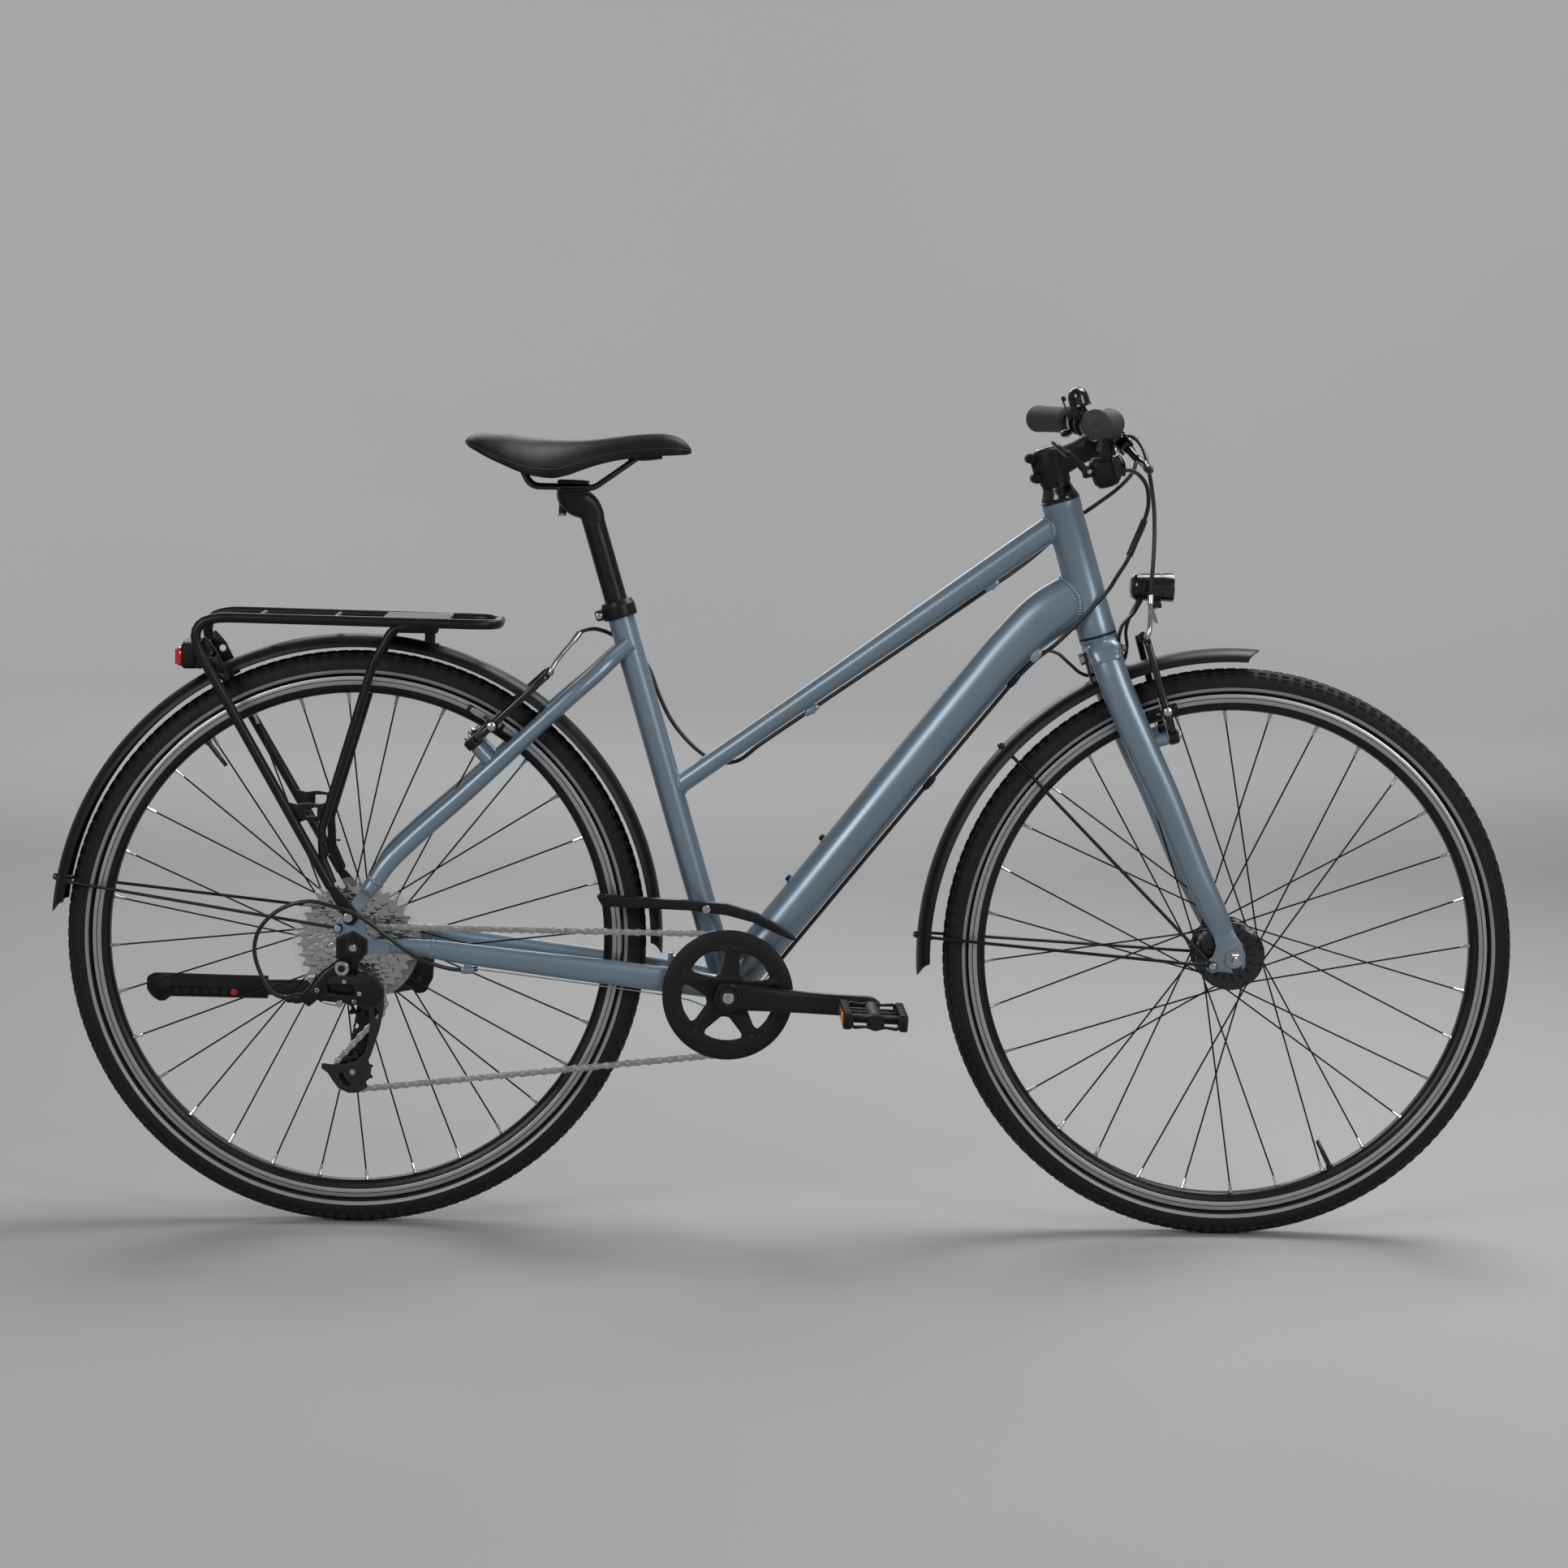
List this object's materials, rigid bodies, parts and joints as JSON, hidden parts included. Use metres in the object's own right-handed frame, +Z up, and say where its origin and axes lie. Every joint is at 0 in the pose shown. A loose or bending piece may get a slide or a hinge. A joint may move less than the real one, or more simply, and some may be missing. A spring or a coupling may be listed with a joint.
{
  "type": "step-through bicycle",
  "caption": "Step-through city bicycle with rim brakes, derailleur gears, mudguards, rear rack, lamps, kickstand, flat bar and a single-sided chain guard.",
  "frame": {"origin": "on the ground, midway between the front of the front wheel and the back of the rear mudguard, in the middle plane", "axes": "+X forward, +Y to the rider's left, +Z up; the chain is on the -Y side"},
  "size_m": [1.7816, 0.6248, 1.0324],
  "materials": {
    "frame_paint": "satin metallic slate blue over bare stacked weld beads",
    "satin_black": "satin black powder coat or anodising",
    "gloss_black": "gloss black, moulded",
    "black_plastic": "fine-grained matte black",
    "tyre_rubber": "black rubber with a grey reflective stripe on each wall",
    "rim_black": "black anodised with a machined silver brake track",
    "bright_metal": "plain brushed metal",
    "grip_rubber": "ribbed black rubber",
    "saddle_cover": "smooth black synthetic leather",
    "red_lens": "clear red lamp lens in a black case",
    "cable_black": "smooth black outer casing"
  },
  "bodies": {
    "frame": {"head_tube": "frame_paint", "seat_tube": "frame_paint", "top_tube": "frame_paint", "down_tube": "frame_paint", "chainstay_left": "frame_paint", "chainstay_right": "frame_paint", "seatstay_left": "frame_paint", "seatstay_right": "frame_paint", "seat_clamp": "satin_black", "rear_mudguard": "gloss_black", "rear_mudguard_stays": "satin_black", "rear_rack": "satin_black", "tail_light": "red_lens", "chain_guard": "black_plastic", "chain": "bright_metal", "derailleur": "satin_black", "kickstand_bracket": "satin_black", "rear_axle": "bright_metal", "rear_brake_cable": "cable_black", "gear_cable": "cable_black", "light_wire": "cable_black"},
    "seat": {"seatpost": "satin_black", "saddle": "saddle_cover"},
    "rear_wheel": {"rear_tyre": "tyre_rubber", "rear_rim": "rim_black", "rear_hub": "satin_black"},
    "sprockets": {"cassette": "bright_metal"},
    "crankset": {"chainring": "black_plastic", "crank_right": "satin_black", "crank_left": "satin_black"},
    "right_pedal": {"pedal_right": "black_plastic"},
    "left_pedal": {"pedal_left": "black_plastic"},
    "upper_pulley": {"guide_pulley": "black_plastic"},
    "lower_pulley": {"tension_pulley": "black_plastic"},
    "kickstand": {"kickstand_leg": "satin_black"},
    "rear_arm_left": {"rear_brake_left": "satin_black"},
    "rear_arm_right": {"rear_brake_right": "satin_black"},
    "steering": {"fork": "frame_paint", "headset": "satin_black", "handlebar": "satin_black", "stem": "satin_black", "grip_left": "grip_rubber", "grip_right": "grip_rubber", "brake_perch_left": "satin_black", "control_right": "black_plastic", "bell_body": "gloss_black", "headlight": "gloss_black", "front_mudguard": "gloss_black", "front_mudguard_stays": "satin_black", "front_axle": "bright_metal", "front_brake_cable": "cable_black"},
    "front_wheel": {"front_tyre": "tyre_rubber", "front_rim": "rim_black", "front_hub": "satin_black"},
    "left_lever": {"brake_lever_left": "satin_black"},
    "right_lever": {"brake_lever_right": "satin_black"},
    "gear_lever": {"shift_lever": "black_plastic"},
    "striker": {"bell_striker": "bright_metal"},
    "front_arm_left": {"front_brake_left": "satin_black"},
    "front_arm_right": {"front_brake_right": "satin_black"}
  },
  "joints": [
    {"name": "steer", "type": "hinge", "parent": "frame", "child": "steering", "pos_m": [0.49402, 0, 0.33421], "axis": [-0.2957, 0, 0.9553], "range_deg": [-60, 60], "deforming": ["rear_brake_cable", "gear_cable", "light_wire"]},
    {"name": "front_wheel_spin", "type": "hinge", "parent": "steering", "child": "front_wheel", "pos_m": [0.54179, 0, 0.349], "axis": [0, 1, 0], "continuous": true},
    {"name": "rear_wheel_spin", "type": "hinge", "parent": "frame", "child": "rear_wheel", "pos_m": [-0.51721, 0, 0.349], "axis": [0, 1, 0], "continuous": true},
    {"name": "crank_turn", "type": "hinge", "parent": "frame", "child": "crankset", "pos_m": [-0.06922, 0, 0.2945], "axis": [0, 1, 0], "continuous": true},
    {"name": "cassette_turn", "type": "hinge", "parent": "frame", "child": "sprockets", "pos_m": [-0.51721, 0, 0.349], "axis": [0, 1, 0], "continuous": true},
    {"name": "guide_pulley_turn", "type": "hinge", "parent": "frame", "child": "upper_pulley", "pos_m": [-0.50221, 0, 0.279], "axis": [0, 1, 0], "continuous": true},
    {"name": "tension_pulley_turn", "type": "hinge", "parent": "frame", "child": "lower_pulley", "pos_m": [-0.51721, 0, 0.196], "axis": [0, 1, 0], "continuous": true},
    {"name": "pedal_right_spin", "type": "hinge", "parent": "crankset", "child": "right_pedal", "pos_m": [0.10068, -0.15, 0.28857], "axis": [0, 1, 0], "continuous": true},
    {"name": "pedal_left_spin", "type": "hinge", "parent": "crankset", "child": "left_pedal", "pos_m": [-0.23911, 0.15, 0.30043], "axis": [0, 1, 0], "continuous": true},
    {"name": "brake_lever_left_pull", "type": "hinge", "parent": "steering", "child": "left_lever", "pos_m": [0.37605, 0.148, 0.96556], "axis": [0.6871, 0, 0.7266], "range_deg": [0, 20], "stiffness_Nm_per_rad": 0.6, "springref_deg": -14.32},
    {"name": "brake_lever_right_pull", "type": "hinge", "parent": "steering", "child": "right_lever", "pos_m": [0.37605, -0.148, 0.96556], "axis": [-0.6871, 0, -0.7266], "range_deg": [0, 20], "stiffness_Nm_per_rad": 0.6, "springref_deg": -14.32},
    {"name": "front_brake_left_close", "type": "hinge", "parent": "steering", "child": "front_arm_left", "pos_m": [0.46042, 0.041, 0.61692], "axis": [0.9553, 0, 0.2957], "range_deg": [0, 3.2]},
    {"name": "front_brake_right_close", "type": "hinge", "parent": "steering", "child": "front_arm_right", "pos_m": [0.46042, -0.041, 0.61692], "axis": [-0.9553, 0, -0.2957], "range_deg": [0, 3.2]},
    {"name": "rear_brake_left_close", "type": "hinge", "parent": "frame", "child": "rear_arm_left", "pos_m": [-0.38081, 0.044, 0.59267], "axis": [0.6868, 0, -0.7268], "range_deg": [0, 3.2]},
    {"name": "rear_brake_right_close", "type": "hinge", "parent": "frame", "child": "rear_arm_right", "pos_m": [-0.38081, -0.044, 0.59267], "axis": [-0.6868, 0, 0.7268], "range_deg": [0, 3.2]},
    {"name": "shift_lever_push", "type": "hinge", "parent": "steering", "child": "gear_lever", "pos_m": [0.33648, -0.135, 0.93447], "axis": [0, 1, 0], "range_deg": [0, 25], "stiffness_Nm_per_rad": 0.3, "springref_deg": -11.46},
    {"name": "bell_striker_flick", "type": "hinge", "parent": "steering", "child": "striker", "pos_m": [0.34011, 0.108, 1.0005], "axis": [0, -1, 0], "range_deg": [0, 20], "stiffness_Nm_per_rad": 0.05, "springref_deg": -5.73},
    {"name": "kickstand_fold", "type": "hinge", "parent": "frame", "child": "kickstand", "pos_m": [-0.44621, 0.08, 0.285], "axis": [0, -0.9553, -0.2957], "range_deg": [0, 122]},
    {"name": "seatpost_slide", "type": "slide", "parent": "frame", "child": "seat", "axis": [-0.2924, 0, 0.9563], "range_m": [-0.09, 0.06]}
  ],
  "couplings": [
    {"joint": "cassette_turn", "follows": "crank_turn", "ratio": 3.2727},
    {"joint": "guide_pulley_turn", "follows": "crank_turn", "ratio": -3.2727},
    {"joint": "tension_pulley_turn", "follows": "crank_turn", "ratio": 3.2727},
    {"joint": "front_brake_left_close", "follows": "brake_lever_left_pull", "ratio": 0.15},
    {"joint": "front_brake_right_close", "follows": "brake_lever_left_pull", "ratio": 0.15},
    {"joint": "rear_brake_left_close", "follows": "brake_lever_right_pull", "ratio": 0.15},
    {"joint": "rear_brake_right_close", "follows": "brake_lever_right_pull", "ratio": 0.15}
  ]
}
